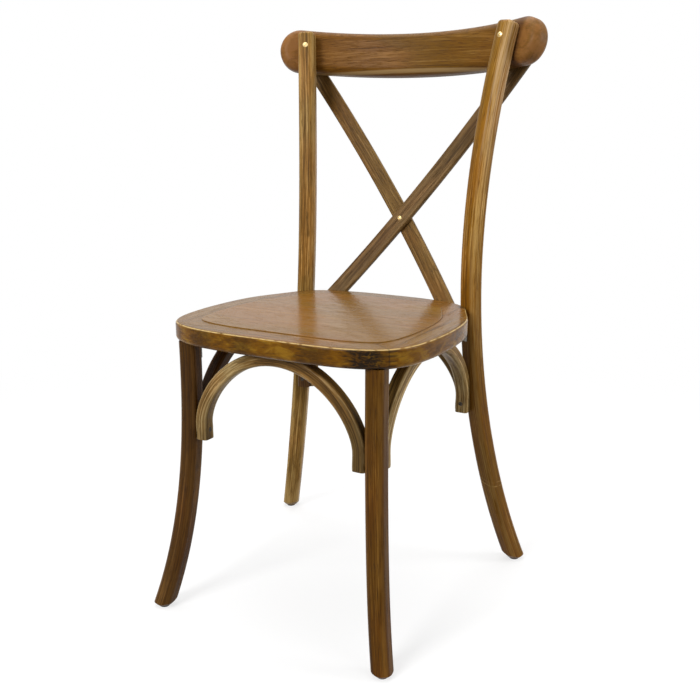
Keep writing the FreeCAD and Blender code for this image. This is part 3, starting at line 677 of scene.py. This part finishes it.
def bar_materials():
    """The wood of the crest rail, posts, legs and slats, by CAD node."""
    board = (RAIL_HALF_THICKNESS, RAIL_HALF_HEIGHT)
    bar = (BAR_HALF, BAR_HALF)
    slat = (SLAT_HALF_WIDTH, SLAT_HALF_THICKNESS)
    post = upright_bar(POST_LINE, POST_TURN)
    leg = upright_bar(LEG_LINE, 0.0)
    return {
        "crest_rail": bar_wood("rail wood", rail_bar, RAIL_TONES, board,
                               contrast=0.75, wear_and_highlight=0.15, marks=rail_marks),
        "rear_post_left": bar_wood("left post wood", post, LEFT_POST_TONES, bar, contrast=1.7),
        "rear_post_right": bar_wood("right post wood", post, RIGHT_POST_TONES, bar,
                                    contrast=1.2, marks=post_marks),
        # The left leg takes the darker copy, as painted shade
        "front_leg_left": bar_wood("left leg wood", leg, SHADED_LEG_TONES, bar),
        "front_leg_right": bar_wood("right leg wood", leg, LEG_TONES, bar),
        # The front slat darker as painted shade, the rear one lighter as painted light
        "cross_slat_front": bar_wood("front slat wood", slat_bar(1.0), FRONT_SLAT_SHADED_TONES, slat,
                                     contrast=1.1, wear_and_highlight=0.35),
        "cross_slat_rear": bar_wood("rear slat wood", slat_bar(-1.0), REAR_SLAT_LIT_TONES, slat,
                                    contrast=1.0, wear_and_highlight=0.35),
    }


def arch_materials():
    """The arches' wood, by CAD node: the left one darker as painted shade, the front one with
    painted shade low down.
    """
    section = (ARCH_HALF_THICKNESS, ARCH_HALF_WIDTH)
    front = arch_bar("y", FRONT_ARCH_Y, FRONT_ARCH_REACH)
    rear = arch_bar("y", REAR_ARCH_Y, REAR_ARCH_REACH)
    left = arch_bar("x", -SIDE_ARCH_X, SIDE_ARCH_REACH)
    right = arch_bar("x", SIDE_ARCH_X, SIDE_ARCH_REACH)
    looks = {
        "front_arch": (front, ARCH_TONES, arch_foot_shade),
        "rear_arch": (rear, ARCH_TONES, None),
        "side_arch_left": (left, SHADED_ARCH_TONES, None),
        "side_arch_right": (right, ARCH_TONES, None),
    }
    made = {}
    for name, (grain, tones, marks) in looks.items():
        made[name] = bar_wood(name + " wood", grain, tones, section,
                              contrast=1.5, wear_and_highlight=0.6, marks=marks)
    return made


def seat_materials():
    """The wood of the seat's frame and panel, by CAD node."""
    across = seat_wood("seat wood across", "x")
    along = seat_wood("seat wood along", "y")
    return {
        "seat_front_rail": across,
        "seat_rear_rail": across,
        "seat_side_rail_left": along,
        "seat_side_rail_right": along,
        "seat_panel": panel_wood("panel wood"),
    }


def fitting_materials():
    """The metal and plastic of the screws, bolts, brackets and glides, by CAD node."""
    brass = metal("brass", *BRASS)
    zinc = metal("zinc plated steel", *ZINC_PLATED_STEEL)
    browned = metal("browned steel", *BROWNED_STEEL)
    return {
        "rail_screws": brass,
        "cross_screw": brass,
        "slat_top_screws": zinc,
        "slat_bottom_screws": zinc,
        "arch_leg_screws": browned,
        "arch_seat_screws": browned,
        "leg_brackets": metal("bracket steel", *BRACKET_STEEL),
        "bracket_screws": zinc,
        "post_bolts": zinc,
        "post_bolt_nuts": zinc,
        "glide_pads": plastic("glide plastic", GLIDE_PLASTIC),
        "glide_nails": zinc,
    }


def dress(nodes):
    """Give each CAD node its material."""
    materials = {**bar_materials(), **arch_materials(), **seat_materials(), **fitting_materials()}
    for name, node in nodes.items():
        node.data.materials.clear()
        node.data.materials.append(materials[name])
        for face in node.data.polygons:
            face.material_index = 0


def area_light(name, place, target, size, power):
    """A soft rectangular lamp that points at its target."""
    light = bpy.data.lights.new(name, "AREA")
    light.shape = "RECTANGLE"
    light.size, light.size_y = size
    light.energy = power
    lamp = bpy.data.objects.new(name, light)
    lamp.location = place
    aim = Vector(target) - Vector(place)
    lamp.rotation_euler = aim.to_track_quat("-Z", "Y").to_euler()
    bpy.context.scene.collection.objects.link(lamp)
    return lamp


def shown(tree):
    """1 for what the camera sees, in a reflection too, and 0 for the light on the object."""
    path = put(tree, "ShaderNodeLightPath")
    seen = calc(tree, "ADD", path.outputs["Is Camera Ray"], path.outputs["Is Glossy Ray"])
    return calc(tree, "ADD", seen, path.outputs["Is Transmission Ray"], clamp=True)


def white_world():
    """A world that the camera sees as plain white, and that lights the object evenly."""
    world = bpy.data.worlds.new("studio")
    bpy.context.scene.world = world
    world.use_nodes = True
    tree = world.node_tree
    tree.nodes.clear()
    strength = calc(tree, "MULTIPLY_ADD", shown(tree), 1.0 - WORLD_LIGHT, WORLD_LIGHT)
    sky = put(tree, "ShaderNodeBackground", {"Color": (1, 1, 1, 1), "Strength": strength})
    put(tree, "ShaderNodeOutputWorld", {0: sky.outputs[0]})


def pale_floor():
    """A round floor that takes the object's shadow and fades into plain white."""
    bpy.ops.mesh.primitive_circle_add(vertices=FLOOR_SIDES, radius=FLOOR_RADIUS,
                                      fill_type="NGON")
    floor = bpy.context.object
    floor.name = "floor"
    material, tree = new_material("floor")
    place = put(tree, "ShaderNodeTexCoord").outputs["Object"]
    distance = put(tree, "ShaderNodeVectorMath", {0: place}, operation="LENGTH")
    far = between(tree, distance.outputs["Value"], *FLOOR_FADE)
    paint = put(tree, "ShaderNodeBsdfDiffuse", {"Color": (*FLOOR_PAINT, 1)})
    glow = put(tree, "ShaderNodeEmission", {"Color": (1, 1, 1, 1), "Strength": FLOOR_GLOW})
    lit = put(tree, "ShaderNodeAddShader", {0: paint.outputs[0], 1: glow.outputs[0]})
    white = put(tree, "ShaderNodeEmission", {"Color": (1, 1, 1, 1), "Strength": 1.0})
    pale = put(tree, "ShaderNodeMixShader", {0: far, 1: lit.outputs[0], 2: white.outputs[0]})
    dim = put(tree, "ShaderNodeBsdfDiffuse", {"Color": (*FLOOR_BOUNCE, 1)})
    mixed = put(tree, "ShaderNodeMixShader",
                {0: shown(tree), 1: dim.outputs[0], 2: pale.outputs[0]})
    put(tree, "ShaderNodeOutputMaterial", {0: mixed.outputs[0]})
    floor.data.materials.append(material)


def studio():
    """The white world, the lamps and the floor."""
    white_world()
    for lamp in LAMPS:
        area_light(*lamp)
    pale_floor()


def camera():
    """The camera as it stood for the photograph."""
    lens = bpy.data.cameras.new("camera")
    lens.sensor_width = CAMERA_SENSOR
    lens.lens = CAMERA_LENS
    made = bpy.data.objects.new("camera", lens)
    made.location = CAMERA_PLACE
    made.rotation_euler = (math.radians(90 - CAMERA_TILT), 0, math.radians(CAMERA_TURN))
    bpy.context.scene.collection.objects.link(made)
    bpy.context.scene.camera = made


def main():
    """Load the CAD's frame, dress it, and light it."""
    for thing in list(bpy.data.objects):
        bpy.data.objects.remove(thing)
    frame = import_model()
    dress(frame["nodes"])
    studio()
    camera()
    bpy.context.scene.view_settings.view_transform = "Standard"


main()
